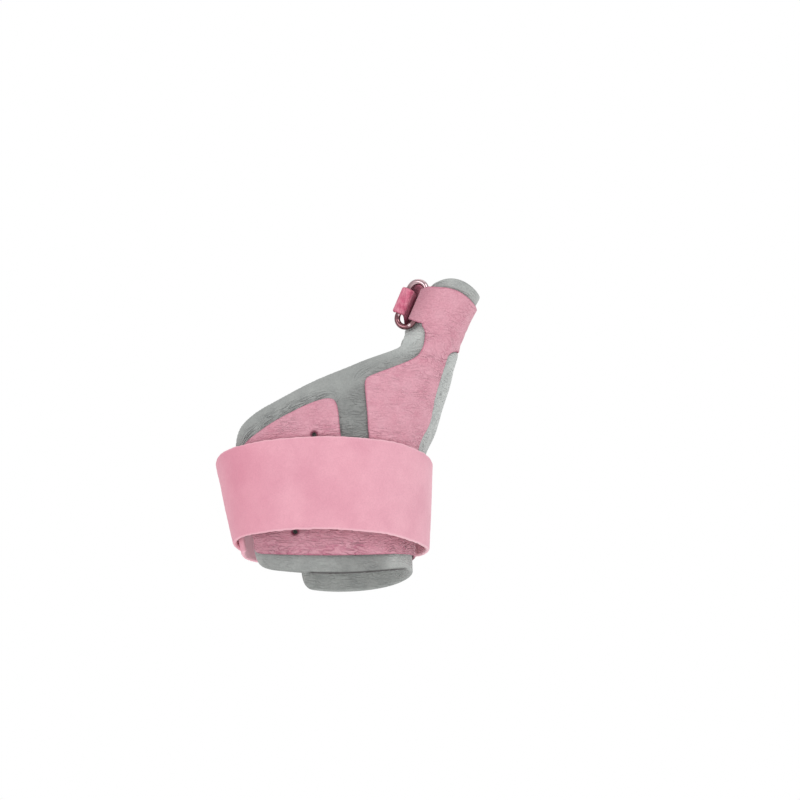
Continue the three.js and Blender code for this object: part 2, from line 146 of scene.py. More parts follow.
# Sections of the hand from the hem to the thumb's rim. Height is a share of HEM_DROP or RIM_HEIGHT, width,
# front and back are shares of the girth, across and deep are shares of the palm's width, and rises are of
# HEM_DIP or RIM_SLOPE. Columns: height, girth, width, front, back, across, deep, square, rise, back rise,
# tilt in degrees.
SECTIONS = [
    (-1.0, WRIST, 0.5, 0.5, 0.5, 0.033, 0.0, 0.03, -1.0, -0.63, 0),
    (-0.62, WRIST, 0.515, 0.52, 0.51, 0.018, 0.0, 0.03, -0.3, -0.2, 0),
    (0.0, PALM, 0.445, 0.46, 0.46, 0.0, 0.0, 0.04, 0, 0, 0),
    (0.22, PALM, 0.481, 0.49, 0.51, -0.018, 0.0, 0.04, 0, 0, 0),
    (0.36, PALM, 0.51, 0.48, 0.52, 0.012, 0.0, 0.04, 0, 0, 0),
    (0.5, PALM, 0.455, 0.41, 0.46, 0.103, 0.0, 0.03, 0, 0, 3),
    (0.61, PALM, 0.35, 0.335, 0.37, 0.243, -0.01, 0.03, 0, 0, 6),
    (0.72, PALM, 0.18, 0.245, 0.26, 0.44, -0.03, 0.02, 0, 0, 8),
    (0.8, THUMB, 0.53, 0.54, 0.54, 0.522, -0.05, 0.0, 0, 0, 10),
    (0.9, THUMB, 0.47, 0.49, 0.49, 0.585, -0.08, 0.0, 0, 0, 10),
    (1.0, THUMB, 0.5, 0.49, 0.49, 0.64, -0.11, 0.0, 1.0, -1.0, 10),
]
LAST_ROW = len(SECTIONS) - 1


def smooth_curve(stations, values):
    """A smooth curve through the values, which never overshoots them."""
    x = np.array(stations, float)
    y = np.array(values, float)
    step = np.diff(y) / np.diff(x)
    slope = np.concatenate([step[:1], np.zeros(len(x) - 2), step[-1:]])
    both = step[:-1] * step[1:]
    slope[1:-1] = np.where(both > 0, 2 * both / np.where(both > 0, step[:-1] + step[1:], 1), 0)

    def at(t):
        t = np.clip(t, x[0], x[-1])
        k = np.clip(np.searchsorted(x, t, side="right") - 1, 0, len(x) - 2)
        span = x[k + 1] - x[k]
        f = (t - x[k]) / span
        g = 1 - f
        near = g * g * (1 + 2 * f) * y[k] + f * g * g * span * slope[k]
        return near + f * f * (3 - 2 * f) * y[k + 1] - f * f * g * span * slope[k + 1]

    return at


def section_curves():
    """The sections' sizes in metres, each as a smooth curve by row."""
    sized = []
    for height, girth, width, front, back, across, deep, square, rise, back_rise, tilt in SECTIONS:
        above = height > 0
        lift = RIM_SLOPE if above else HEM_DIP
        reach = (width * girth[0], front * girth[1], back * girth[1])
        place = (height * (RIM_HEIGHT if above else HEM_DROP), across * PALM[0], deep * PALM[0])
        sized.append((*place, *reach, square, rise * lift, back_rise * lift, math.radians(tilt)))
    names = ("z", "x", "y", "half", "front", "back", "square", "rise", "back_rise", "tilt")
    rows = range(len(SECTIONS))
    return {name: smooth_curve(rows, column) for name, column in zip(names, zip(*sized))}


hand = section_curves()


def round_section(turn, square):
    """A unit circle drawn a little towards a square."""
    a = np.radians(turn)
    across = (np.cos(a) - square * np.cos(3 * a)) / (1 - square)
    deep = (np.sin(a) + square * np.sin(3 * a)) / (1 - square)
    return across, deep


def skin(turn, row):
    """Points of the hand's surface. Turn 0 is the thumb side, -90 the back of the hand and 180 the web."""
    turn, row = np.broadcast_arrays(np.asarray(turn, float), np.asarray(row, float))
    across, deep = round_section(turn, hand["square"](row))
    reach = hand["half"](row) * across
    rise = np.where(deep > 0, hand["back_rise"](row), hand["rise"](row)) * np.sin(np.radians(turn)) ** 2
    x = hand["x"](row) + reach * np.cos(hand["tilt"](row))
    y = hand["y"](row) + np.where(deep > 0, hand["back"](row), hand["front"](row)) * deep
    z = hand["z"](row) - reach * np.sin(hand["tilt"](row)) + rise
    return np.stack([x, y, z], -1)


def unit(vectors):
    return vectors / np.linalg.norm(vectors, axis=-1, keepdims=True)


def outward(turn, row):
    near_turn, near_row = 0.05, 0.001
    along_turn = skin(turn + near_turn, row) - skin(turn - near_turn, row)
    above, below = np.minimum(row + near_row, LAST_ROW), np.maximum(row - near_row, 0)
    return unit(np.cross(along_turn, skin(turn, above) - skin(turn, below)))


def over(turn, row, height):
    """Points at a height off the hand's surface."""
    turn, row = np.broadcast_arrays(np.asarray(turn, float), np.asarray(row, float))
    return skin(turn, row) + outward(turn, row) * np.asarray(height)[..., None]


def grain(points, size, seed):
    """Soft noise from about -1 to 1 at each point, with hollows and humps of about the given size."""
    size = np.broadcast_to(np.asarray(size, float), (3,))
    return np.array([noise.noise(Vector(p)) for p in points / size + seed * 17.3]) * 2


def rounded(outline, cuts=3):
    """A closed outline of turns and rows with its corners cut round."""
    points = np.array(outline, float)
    for _ in range(cuts):
        ahead = np.roll(points, -1, axis=0)
        points = np.stack([0.75 * points + 0.25 * ahead, 0.25 * points + 0.75 * ahead], 1).reshape(-1, 2)
    return points


def finely(outline, turn_step=0.8, row_step=0.03):
    """A closed outline with points set closely along it."""
    points = []
    for a, b in zip(outline, np.roll(outline, -1, axis=0)):
        steps = max(1, math.ceil(max(abs(b - a) / (turn_step, row_step))))
        points.extend(a + (b - a) * k / steps for k in range(steps))
    return np.array(points)


def inside_distance(turn, row, outline):
    """How far inside a closed outline each place on the hand is, in metres, or less than nought outside."""
    line = finely(outline)
    line_points = skin(line[:, 0], line[:, 1])
    tree = kdtree.KDTree(len(line))
    for i, p in enumerate(line_points):
        tree.insert(p, i)
    tree.balance()
    places = skin(turn, row)
    nearest = np.array([tree.find(p)[1] for p in places])
    distance = np.full(len(places), np.inf)
    for start, end in ((nearest, (nearest + 1) % len(line)), (nearest - 1, nearest)):
        a, ab = line_points[start], line_points[end] - line_points[start]
        share = np.clip(np.sum((places - a) * ab, -1) / np.maximum(np.sum(ab * ab, -1), 1e-18), 0, 1)
        distance = np.minimum(distance, np.linalg.norm(places - a - ab * share[:, None], axis=-1))
    crossings = np.zeros(len(places), int)
    for (t0, r0), (t1, r1) in zip(outline, np.roll(outline, -1, axis=0)):
        if r0 != r1:
            spans = (row >= min(r0, r1)) & (row < max(r0, r1))
            crossings += spans & (turn < t0 + (row - r0) / (r1 - r0) * (t1 - t0))
    return np.where(crossings % 2 == 1, distance, -distance)


def vent_distance(turn, row, vents, radius):
    """How far each place on the hand is outside the nearest punched vent."""
    middles = [skin(t, r) for t, r in vents]
    return np.min([np.linalg.norm(skin(turn, row) - m, axis=-1) for m in middles], 0) - radius


def evenly(low, high, step, places):
    """Stations from low to high that lie a step apart along a line of places on the hand."""
    fine = np.linspace(low, high, 800)
    lengths = np.linalg.norm(np.diff(places(fine), axis=0), axis=-1)
    travelled = np.concatenate([[0], np.cumsum(lengths)])
    return np.interp(np.linspace(0, travelled[-1], round(travelled[-1] / step) + 1), travelled, fine)


def trimmed(turns, rows, distance_at):
    """A grid on the hand, trimmed where the distance is nought: its turns, rows, distances and faces."""
    turn, row = (g.ravel() for g in np.meshgrid(turns, rows))
    distance = distance_at(turn, row)
    columns = len(turns)
    used, extra, faces = {}, [], []

    def corner(i):
        return used.setdefault(("corner", i), len(used))

    def crossing(i, j):
        i, j = min(i, j), max(i, j)
        if (i, j) not in used:
            share = distance[i] / (distance[i] - distance[j])
            extra.append((turn[i] + (turn[j] - turn[i]) * share, row[i] + (row[j] - row[i]) * share))
            used[i, j] = len(used)
        return used[i, j]

    inside = distance > 0
    for r in range(len(rows) - 1):
        for c in range(columns - 1):
            i = r * columns + c
            cell = (i, i + 1, i + 1 + columns, i + columns)
            if not any(inside[k] for k in cell):
                continue
            face = []
            for a, b in zip(cell, cell[1:] + cell[:1]):
                if inside[a]:
                    face.append(corner(a))
                if inside[a] != inside[b]:
                    face.append(crossing(a, b))
            faces.append(face)
    made = np.zeros((len(used), 3))
    crossings = iter(extra)
    for key, at in used.items():
        if key[0] == "corner":
            made[at] = (turn[key[1]], row[key[1]], distance[key[1]])
        else:
            made[at] = (*next(crossings), 0)
    return made[:, 0], made[:, 1], made[:, 2], faces


def two_faced(outer, inner, shared, faces):
    """Points and faces of a closed sheet whose two faces meet at the shared points."""
    under = np.arange(len(outer))
    own = np.flatnonzero(~shared)
    under[own] = len(outer) + np.arange(len(own))
    back = [[int(under[i]) for i in reversed(face)] for face in faces]
    return np.concatenate([outer, inner[own]]), faces + back, own


def piece(name, points, faces, material, **values):
    """A smooth mesh piece. Its material reads the values at its points, numbers or vectors, by name."""
    mesh = bpy.data.meshes.new(name)
    mesh.from_pydata([tuple(p) for p in points], [], faces)
    mesh.validate()
    for key, value in values.items():
        value = np.asarray(value, np.float32)
        if value.ndim == 1:
            mesh.attributes.new(key, "FLOAT", "POINT").data.foreach_set("value", value)
        else:
            mesh.attributes.new(key, "FLOAT_VECTOR", "POINT").data.foreach_set("vector", value.ravel())
    mesh.shade_smooth()
    mesh.materials.append(material)
    made = bpy.data.objects.new(name, mesh)
    bpy.context.scene.collection.objects.link(made)
    return made


def edge_round(distance, wall):
    """The share of a cloth's full thickness at a distance from its edge."""
    near = np.clip(distance / (0.6 * wall), 0, 1)
    return np.sqrt(1 - (1 - near) ** 2)


def cloth_lengths(turn, row, middle_turn=-60):
    """Lengths along and up the cloth from a middle line, for patterns that follow the cloth."""
    along = np.radians(turn - middle_turn) * (hand["half"](row) + hand["front"](row)) / 2
    return np.stack([along, hand["z"](row), np.zeros_like(along)], -1)


# How far apart the knit's points lie where the humps and crimps have to show, and on the plain palm side
FINE_STEP = 0.6 * MM
PALM_STEP = 1.1 * MM
PALM_ROW = 4.0
BACK_OF_HAND_TURNS = evenly(-172, 20, FINE_STEP, lambda t: skin(t, PALM_ROW + 0 * t))
PALM_TURNS = evenly(20, 172, PALM_STEP, lambda t: skin(t, PALM_ROW + 0 * t))
TURNS = np.concatenate([BACK_OF_HAND_TURNS, PALM_TURNS[1:]])
ROWS = evenly(0, LAST_ROW, FINE_STEP, lambda r: skin(-70 + 0 * r, r))

# Up the back of the hand, round the thumb's rim and down the palm side, as turns and rows
LINER_OUTLINE = [
    (-128, 0.02), (-142, 0.04), (-154, 0.14), (-161, 0.4), (-163.5, 0.8), (-160, 1.5), (-152, 2.5),
    (-147.5, 3.05), (-143, 3.5), (-139, 3.75), (-133, 4.0), (-126, 4.25), (-120, 4.48), (-112, 5.05),
    (-105, 5.65), (-101.5, 6.25), (-99.5, 6.6), (-100.5, 6.76), (-106, 6.88), (-113, 7.07), (-118, 7.19),
    (-122, 7.28), (-128, 7.4), (-133, 7.48), (-142, 7.6), (-150, 7.69), (-157, 7.76), (-163, 7.86),
    (-168, 8.3), (-171, 9.0), (-171, 9.98), (-171, 9.98), (-90, 9.98), (0, 9.98), (90, 9.98), (170, 9.98),
    (170, 9.98), (169, 9.0), (168, 8.3), (160, 7.8), (151, 7.58), (143, 7.44), (134, 7.34), (124, 7.24),
    (113, 7.06), (107, 6.88), (103, 6.65), (104, 6.3), (107, 5.65), (111, 5.05), (114, 4.48), (115, 4.0),
    (114, 3.5), (112, 2.5), (111, 1.5), (112, 0.5), (110, 0.15), (104, 0.02), (0, 0.02),
]
VENTS = [(-94.5, 3.17), (-112.3, 1.15)]
VENT_RADIUS = 1.2 * MM

# The panel's pile leans in over the rim of each vent
PILE_LEAN = 0.35 * MM

# Two ends of thread show on the bare strip beside the thumb
STITCH_ENDS = [(-22.3, 6.2), (-21.7, 5.23)]

# Up the back of the hand with the bare middle strip as a bay, round the panel's top and down the palm side
PANEL_OUTLINE = [
    (100, 0.64), (50, 0.74), (5, 0.64), (-25, 0.56), (-50, 0.53), (-90, 0.52), (-130, 0.53), (-150, 0.6),
    (-155.5, 0.74), (-154, 1.0), (-155, 1.5), (-149, 2.6), (-134.5, 3.07), (-125, 3.32), (-117.5, 3.61),
    (-111, 3.88), (-104, 4.14), (-98, 4.34), (-94, 4.42), (-91, 4.4), (-88.5, 4.28), (-86.5, 4.1),
    (-85.2, 3.89), (-83.6, 3.6), (-81.5, 3.2), (-79.5, 2.6), (-79, 2.25), (-78.5, 2.2), (-66.5, 2.2),
    (-66, 2.25), (-66, 2.6), (-66.7, 3.16), (-68.1, 3.35), (-71.4, 3.92), (-73.2, 4.2), (-75.9, 4.54),
    (-79.5, 4.87), (-83.2, 5.22), (-83.4, 5.36), (-80.4, 5.62), (-75.5, 5.97), (-71.6, 6.23),
    (-69.8, 6.5), (-74.6, 6.77), (-81.6, 7.1), (-92.5, 7.56), (-102, 7.82), (-110, 7.97), (-115, 8.06),
    (-116, 8.2), (-115, 8.6), (-115, 9.3), (-116, 9.58), (-112, 9.66), (-95, 9.65), (-75, 9.63),
    (-50, 9.57), (-20, 9.5), (30, 9.5), (90, 9.55), (150, 9.62), (158, 9.6), (158, 9.4), (156, 9.0),
    (151, 8.5), (143, 8.2), (128, 7.95), (106, 7.56), (95, 7.1), (91, 6.77), (88, 6.46), (91, 5.97),
    (96, 5.34), (99, 4.9), (103, 4.0), (105, 3.07), (107, 2.6), (107, 1.5), (107, 0.65),
]
THUMB_SIDE_STRIP = [
    (-25.5, 2.2), (-26.5, 2.6), (-27, 3.15), (-25.4, 3.9), (-26.5, 4.46), (-28.4, 5.0), (-30.7, 5.5),
    (-33.5, 6.14), (-35, 6.5), (-37, 6.78), (-34.5, 6.95), (-26, 7.1), (-12, 7.22), (4, 7.3), (18, 7.32),
    (32, 7.2), (36, 6.8), (36, 6.1), (32, 5.5), (29, 4.5), (28, 3.5), (28, 2.6), (27, 2.2),
]
liner_line, panel_line, strip_line = (rounded(o) for o in (LINER_OUTLINE, PANEL_OUTLINE, THUMB_SIDE_STRIP))


def liner_distance(turn, row):
    return inside_distance(turn, row, liner_line)


def panel_distance(turn, row):
    cut = np.minimum(inside_distance(turn, row, panel_line), -inside_distance(turn, row, strip_line))
    return np.minimum(cut, vent_distance(turn, row, VENTS, VENT_RADIUS - PILE_LEAN))


def cloth_material(name, colours, speckle, pile, folds, edge, sheen):
    """Knit or pile cloth: mottled, flecked, with crimps as fine dark lines of painted shade, and an edge
    colour.
    """
    made = bpy.data.materials.new(name)
    made.use_nodes = True
    tree = made.node_tree
    tree.nodes.clear()
    place = add(tree, "ShaderNodeTexCoord").outputs["Object"]
    lengths = add(tree, "ShaderNodeAttribute", attribute_name="lengths").outputs["Vector"]
    border = add(tree, "ShaderNodeAttribute", attribute_name="edge").outputs["Fac"]
    crimp = add(tree, "ShaderNodeAttribute", attribute_name="crimp").outputs["Fac"]
    shade = add(tree, "ShaderNodeAttribute", attribute_name="shade").outputs["Fac"]
    patches = add(tree, "ShaderNodeTexNoise",
                  {"Vector": place, "Scale": 1 / colours["patch"], "Detail": 3.0})
    mottle = add(tree, "ShaderNodeValToRGB", {"Fac": patches.outputs["Fac"]})
    mottle.color_ramp.elements[0].position = 0.32
    mottle.color_ramp.elements[0].color = linear(colours["dark"])
    mottle.color_ramp.elements[1].position = 0.68
    mottle.color_ramp.elements[1].color = linear(colours["light"])
    fleck_noise = add(tree, "ShaderNodeTexNoise",
                      {"Vector": place, "Scale": 1 / speckle["size"], "Detail": 4.0})
    fleck = add(tree, "ShaderNodeMapRange",
                {"Value": fleck_noise.outputs["Fac"], "From Min": 0.3, "From Max": 0.7,
                 "To Min": 1 - speckle["depth"], "To Max": 1 + speckle["depth"]})
    flecked = add(tree, "ShaderNodeVectorMath", {0: mottle.outputs["Color"], 1: fleck.outputs["Result"]},
                  operation="MULTIPLY")
    stretched = add(tree, "ShaderNodeMapping", {"Vector": lengths, "Scale": folds["stretch"]})
    wave = add(tree, "ShaderNodeTexNoise",
               {"Vector": stretched.outputs["Vector"], "Scale": 1 / folds["size"],
                "Detail": 1.0, "Distortion": folds["bend"]})
    centred = add(tree, "ShaderNodeMath", {0: wave.outputs["Fac"], 1: 0.5}, operation="SUBTRACT")
    off_line = add(tree, "ShaderNodeMath", {0: centred.outputs[0]}, operation="ABSOLUTE").outputs[0]
    # The dark lines along the crimps are painted crease shade
    line = add(tree, "ShaderNodeMapRange",
               {"Value": off_line, "From Min": 0.0, "From Max": folds["width"],
                "To Min": folds["tone"], "To Max": 0.0})
    dark = add(tree, "ShaderNodeMath", {0: line.outputs["Result"], 1: crimp}, operation="MULTIPLY")
    creased = add(tree, "ShaderNodeMix", {"Factor": dark.outputs[0], "A": flecked.outputs["Vector"],
                                          "B": linear(folds["colour"])}, data_type="RGBA")
    near_edge = add(tree, "ShaderNodeMapRange",
                    {"Value": border, "From Min": edge["from"], "From Max": edge["to"],
                     "To Min": edge["share"], "To Max": 0.0})
    edged = add(tree, "ShaderNodeMix", {"Factor": near_edge.outputs["Result"], "A": creased.outputs[2],
                                        "B": linear(edge["colour"])}, data_type="RGBA")
    # The shade value mixes in the deep colour, mostly as painted shade
    coloured = add(tree, "ShaderNodeMix",
                   {"Factor": shade, "A": edged.outputs[2], "B": linear(colours["deep"])},
                   data_type="RGBA")
    between = add(tree, "ShaderNodeMapRange",
                  {"Value": off_line, "From Min": 0.0, "From Max": 2 * folds["width"]})
    relief = add(tree, "ShaderNodeMath", {0: between.outputs["Result"], 1: crimp}, operation="MULTIPLY")
    fibre = add(tree, "ShaderNodeTexNoise", {"Vector": place, "Scale": 1 / pile["size"], "Detail": 5.0,
                                             "Roughness": 0.7})
    crimped = add(tree, "ShaderNodeBump", {"Height": relief.outputs[0], "Strength": folds["strength"],
                                           "Distance": folds["height"]})
    napped = add(tree, "ShaderNodeBump", {"Height": fibre.outputs["Fac"], "Strength": pile["strength"],
                                          "Distance": pile["height"], "Normal": crimped.outputs["Normal"]})
    shader = add(tree, "ShaderNodeBsdfPrincipled", {
        "Base Color": coloured.outputs[2], "Roughness": 0.95, "Normal": napped.outputs["Normal"],
        "IOR": 1.45, "Specular IOR Level": 0.2, "Sheen Weight": sheen["weight"],
        "Sheen Roughness": sheen["roughness"], "Sheen Tint": linear(sheen["tint"]),
    })
    add(tree, "ShaderNodeOutputMaterial", {"Surface": shader.outputs[0]})
    return made


# A stitch of such knit is 0.2 to 0.3 mm wide, which is too fine to show here, so its flecks and fibres are
# drawn about twice as coarse.
grey_knit = cloth_material(
    "grey polyester stretch knit",
    colours={"dark": "#B2B6B4", "light": "#C0C4C1", "deep": "#2E2628", "patch": 6 * MM},
    speckle={"size": 0.6 * MM, "depth": 0.09},
    pile={"size": 0.45 * MM, "height": 0.14 * MM, "strength": 0.6},
    # Folds: crimp bumps, with a colour painted as the shade in their creases
    folds={"size": 1.3 * MM, "stretch": (0.36, 1, 1), "bend": 0.35, "width": 0.07, "tone": 0.5,
           "colour": "#5F6665", "height": 0.7 * MM, "strength": 0.9},
    # The knit's darker edge colour is painted shade along its edges
    edge={"from": 0.0, "to": 0.5 * MM, "share": 0.5, "colour": "#6E6F6E"},
    sheen={"weight": 0.4, "roughness": 0.5, "tint": "#FFFFFF"},
)

turn, row, distance, faces = trimmed(TURNS, ROWS, liner_distance)

# Crimps: they run along the panel's edge in the upper border, close beside it, and are calm towards the web
lengths = cloth_lengths(turn, row)
beside_panel = -panel_distance(turn, row)
at_border = (turn < -88) & (row > 2.4) & (row < 7.2)
lengths[:, 1] = np.where(at_border, beside_panel, lengths[:, 1])
patches = np.clip(0.8 + 0.5 * grain(lengths, 4 * MM, 3), 0.3, 1.3)
beside_edge = np.exp(-((beside_panel / (1.9 * MM) - 1.1) ** 2))
at_web = np.clip((row - 5.9) / 0.5, 0, 1) * np.clip((-88 - turn) / 8, 0, 1)
at_corner = np.clip((-132 - turn) / 10, 0, 1)
calm = np.maximum(0.75 * at_web, 0.9 * at_corner)
crimp = np.where(at_border, (0.12 + 1.5 * beside_edge) * (1 - calm), 0.6)
crimp *= np.clip(np.abs(turn + 88) / 4, 0, 1) * np.clip(np.abs(row - 7.2) / 0.2, 0, 1)
crimp = np.where((row < 2.4) | (row > 7.4), 0.3, crimp) * patches

# Shade: painted shade. It is darkest where the closed liner shows in the vents, along the bottom hem's
# edge and in a painted shadow under the panel's top edge, moderate over the back of the hand, deeper in the
# slot and light elsewhere. The strip beside the thumb and the web are left palest. The two thread ends are
# the thread's own dark colour.
on_back = np.clip((-40 - turn) / 15, 0, 1) * np.clip((7.0 - row) / 0.8, 0, 1)
in_slot = np.clip((turn + 92) / 8, 0, 1) * np.clip((5.2 - row) / 0.5, 0, 1)
vent_shade = 0.78 * np.clip(0.5 - vent_distance(turn, row, VENTS, VENT_RADIUS) / (0.6 * MM), 0, 1)
in_strip = inside_distance(turn, row, strip_line)
pale = np.maximum(at_web * np.clip((8.6 - row) / 0.3, 0, 1), np.clip(in_strip / MM + 0.5, 0, 1))
panel_edge_shadow = 0.45 * np.clip(1.7 - beside_panel / (0.6 * MM), 0, 1) * np.clip((row - 8.8) / 0.3, 0, 1)
hem_edge_shadow = 0.9 * np.clip(2 - distance / (0.5 * MM), 0, 1) * np.clip((0.6 - row) / 0.2, 0, 1)
hem_edge_shadow *= np.clip((turn + 112) / 8, 0, 1) * np.clip((-20 - turn) / 8, 0, 1)
stitch_ends = 0.75 * np.clip(1.3 - vent_distance(turn, row, STITCH_ENDS, 0) / (0.4 * MM), 0, 1)
shade = np.maximum(on_back * (0.36 + 0.12 * in_slot), 0.14 * (1 - pale))
shade = np.max([shade, vent_shade, panel_edge_shadow, hem_edge_shadow, stitch_ends], 0)

# Form: the strip beside the thumb bulges out between the panel's edges
crimp *= np.where(in_strip > 0, 0.6, 1)
bulge = 0.5 * MM + 0.5 * MM * np.clip((row - 6.5) / 0.4, 0, 1)
bulge *= np.clip(in_strip / (0.7 * MM), 0, 1) ** 0.5
humps = grain(lengths, (4.5 * MM, 1.3 * MM, MM), 5)
soft = np.clip(distance / (1.5 * MM), 0, 1)
lift = soft * (0.12 * MM * humps * crimp + bulge)
thick = edge_round(distance, LINER_WALL) * LINER_WALL / 2
middle = LINER_WALL / 2
outer = over(turn, row, middle + thick + lift)
inner = over(turn, row, middle - thick)
points, closed, own = two_faced(outer, inner, distance <= 0, faces)


def both_faces(own, **values):
    """Values for the outer face's points, carried on to the inner face's own points."""
    return {key: np.concatenate([value, value[own]]) for key, value in values.items()}


knit_liner = piece("knit_liner", points, closed, grey_knit,
                   **both_faces(own, edge=distance, lengths=lengths, crimp=crimp, shade=shade))
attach(knit_liner, "root")
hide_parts("liner")

# Panel
# The panel is dusty rose brushed knit, bonded on the liner and cut away over two strips of it. Bonding and
# the stretch crimp it into short fine crinkles, closest at the thumb's base and under the strap, and its
# cut edge is a deeper pink. Two vents are punched through it.
PANEL_WALL = 0.9 * MM
PANEL_FOOT = LINER_WALL + 0.45 * MM
PANEL_TOP = PANEL_FOOT + PANEL_WALL

# A painted shadow lies as a deeper pink line on the panel just above the wrist strap's top edge. The
# strap's edges lie above or below their own plane by shares of STRAP_DIP: turn, top edge, bottom edge.
STRAP_WIDTH = 36.2 * MM
STRAP_RISE = 0.5 * MM
STRAP_DIP = 4 * MM
STRAP_EDGES = [
    (-180, -0.9, 0.3),
    (-135, -0.38, 0.22),
    (-110, -0.06, 0.3),
    (-90, 0.12, 0.22),
    (-60, -0.13, 0.0),
    (-30, -0.63, -0.38),
    (0, -0.88, -0.25),
    (90, 0.1, 0.45),
    (180, -0.9, 0.3),
]
edge_turns, *edge_shares = zip(*STRAP_EDGES)
strap_edge_curves = [smooth_curve(edge_turns, shares) for shares in edge_shares]


def strap_top(turn):
    return STRAP_RISE + STRAP_WIDTH / 2 + strap_edge_curves[0](turn) * STRAP_DIP


rose_pile = cloth_material(
    "rose brushed knit",
    colours={"dark": "#D598A7", "light": "#DAA2B0", "deep": "#6E2C42", "patch": 6 * MM},
    speckle={"size": 0.6 * MM, "depth": 0.09},
    pile={"size": 0.4 * MM, "height": 0.15 * MM, "strength": 0.6},
    # Folds: crimp bumps, with a colour painted as the shade in their creases
    folds={"size": 1.15 * MM, "stretch": (0.36, 1, 1), "bend": 0.4, "width": 0.07, "tone": 0.5,
           "colour": "#AC5C77", "height": 0.45 * MM, "strength": 0.8},
    edge={"from": 0.0, "to": 0.6 * MM, "share": 0.75, "colour": "#B9647F"},
    sheen={"weight": 0.4, "roughness": 0.5, "tint": "#FFE4EA"},
)

turn, row, distance, faces = trimmed(TURNS, ROWS, panel_distance)
lengths = cloth_lengths(turn, row)
at_thumb = np.exp(-(((row - 6.9) / 0.9) ** 2))
at_hem = np.exp(-((np.maximum(row - 0.5, 0) / 0.6) ** 2))
at_strap = np.exp(-(((row - 3.0) / 0.5) ** 2))
wander = 1.3 * MM * grain(lengths, 5 * MM, 11) * (0.35 + 0.4 * at_thumb)
lengths[:, 1] += wander + 0.4 * lengths[:, 0] * at_thumb
patches = np.clip(0.85 + 0.45 * grain(lengths, 4 * MM, 2), 0.4, 1.3)
crimp = patches * (0.45 + 0.5 * at_thumb + 0.9 * at_hem + 0.4 * at_strap)
# Painted shade: a little over the panel left of the slot below the border, more towards its far corner, and
# a little at the hem below the strap. The vents' rims are painted dark as the shade in the holes.
below_border = np.clip((4.8 - row) / 0.4, 0, 1)
corner = np.clip((-88 - turn) / 45, 0, 1) * below_border
shade = 0.05 * np.clip((-86 - turn) / 3, 0, 1) * below_border + 0.16 * corner**2 + 0.06 * at_hem
vent_rim_shade = 0.9 * np.clip(1.6 - vent_distance(turn, row, VENTS, VENT_RADIUS - PILE_LEAN) / (0.7 * MM), 0, 1)
# A painted shadow line on the panel just above the strap's top edge
above_strap = (hand["z"](row) - strap_top(turn)) / MM
shade += 0.3 * np.clip(1.4 - above_strap, 0, 1) * (above_strap > 0) * (turn < 0)
shade = np.maximum(shade, vent_rim_shade)
lines = grain(lengths, (4.5 * MM, 1.6 * MM, MM), 8)
soft = np.clip(distance / (1.2 * MM), 0, 1)
lift = soft * 0.15 * MM * crimp * lines
thick = edge_round(distance, PANEL_WALL) * PANEL_WALL / 2
middle = PANEL_FOOT + PANEL_WALL / 2
outer = over(turn, row, middle + thick + lift)
inner = over(turn, row, middle - thick)
points, closed, own = two_faced(outer, inner, distance <= 0, faces)
rose_panel = piece("rose_panel", points, closed, rose_pile,
                   **both_faces(own, edge=distance, lengths=lengths, crimp=crimp, shade=shade))
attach(rose_panel, "root")
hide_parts("panel")

# Wire ring
# The ring is round steel wire, bent long and narrow with half-round ends and butt welded, then polished
# till it shines. It mirrors the pink cloth round it: its dark rose colour is a painted reflection of that
# cloth, and its pale upper end and small white glints are painted reflections.
WIRE = 2.2 * MM
RING_WIDTH = 9.2 * MM
RING_LENGTH = 20.4 * MM
RING_BELOW = 7.0 * MM
RING_SWING = math.radians(24)
EYE = WIRE / 2 + GAP + PANEL_WALL
EYE_HEIGHT = LINER_WALL + 2 * GAP + EYE
RING_FOOT = (-131.5, 8.38)
RING_HEAD = (-137.5, 9.65)
ring_foot = over(*RING_FOOT, EYE_HEIGHT)
ring_up = over(*RING_HEAD, EYE_HEIGHT) - ring_foot
rows_per_length = (RING_HEAD[1] - RING_FOOT[1]) / np.linalg.norm(ring_up)
ring_up = unit(ring_up)
web_way = skin(RING_FOOT[0] - 1, RING_FOOT[1]) - skin(RING_FOOT[0] + 1, RING_FOOT[1])
web_way = unit(web_way - ring_up * np.dot(web_way, ring_up))
ring_across = web_way * math.cos(RING_SWING) + np.cross(ring_up, web_way) * math.sin(RING_SWING)
ring_out = np.cross(ring_up, ring_across)
BARS_APART = RING_WIDTH - WIRE


def at_ring(up, across, out):
    """Points by lengths up the ring, across from its inner bar and out from its plane."""
    up, across, out = np.broadcast_arrays(*(np.asarray(v, float)[..., None] for v in (up, across, out)))
    return ring_foot + ring_up * up + ring_across * across + ring_out * out


def band_faces(rows, columns, wrap_rows=False, wrap_columns=False):
    """Faces of a grid of points, rows by columns, closed round where it wraps."""
    made = []
    for r in range(rows if wrap_rows else rows - 1):
        for c in range(columns if wrap_columns else columns - 1):
            r1, c1 = (r + 1) % rows, (c + 1) % columns
            made.append([r * columns + c, r * columns + c1, r1 * columns + c1, r1 * columns + c])
    return made


polished_wire = bpy.data.materials.new("polished steel wire")
polished_wire.use_nodes = True
tree = polished_wire.node_tree
tree.nodes.clear()
place = add(tree, "ShaderNodeTexCoord").outputs["Object"]
handling = add(tree, "ShaderNodeTexNoise", {"Vector": place, "Scale": 1 / (2.5 * MM), "Detail": 4.0})
haze = add(tree, "ShaderNodeMapRange", {"Value": handling.outputs["Fac"], "From Min": 0.35, "From Max": 0.7,
                                        "To Min": 0.06, "To Max": 0.16})
# The wire's dark rose colours are a painted reflection of the pink cloth round it
tone = add(tree, "ShaderNodeValToRGB", {"Fac": handling.outputs["Fac"]})
tone.color_ramp.elements[0].color = linear("#63393F")
tone.color_ramp.elements[1].color = linear("#9B7278")
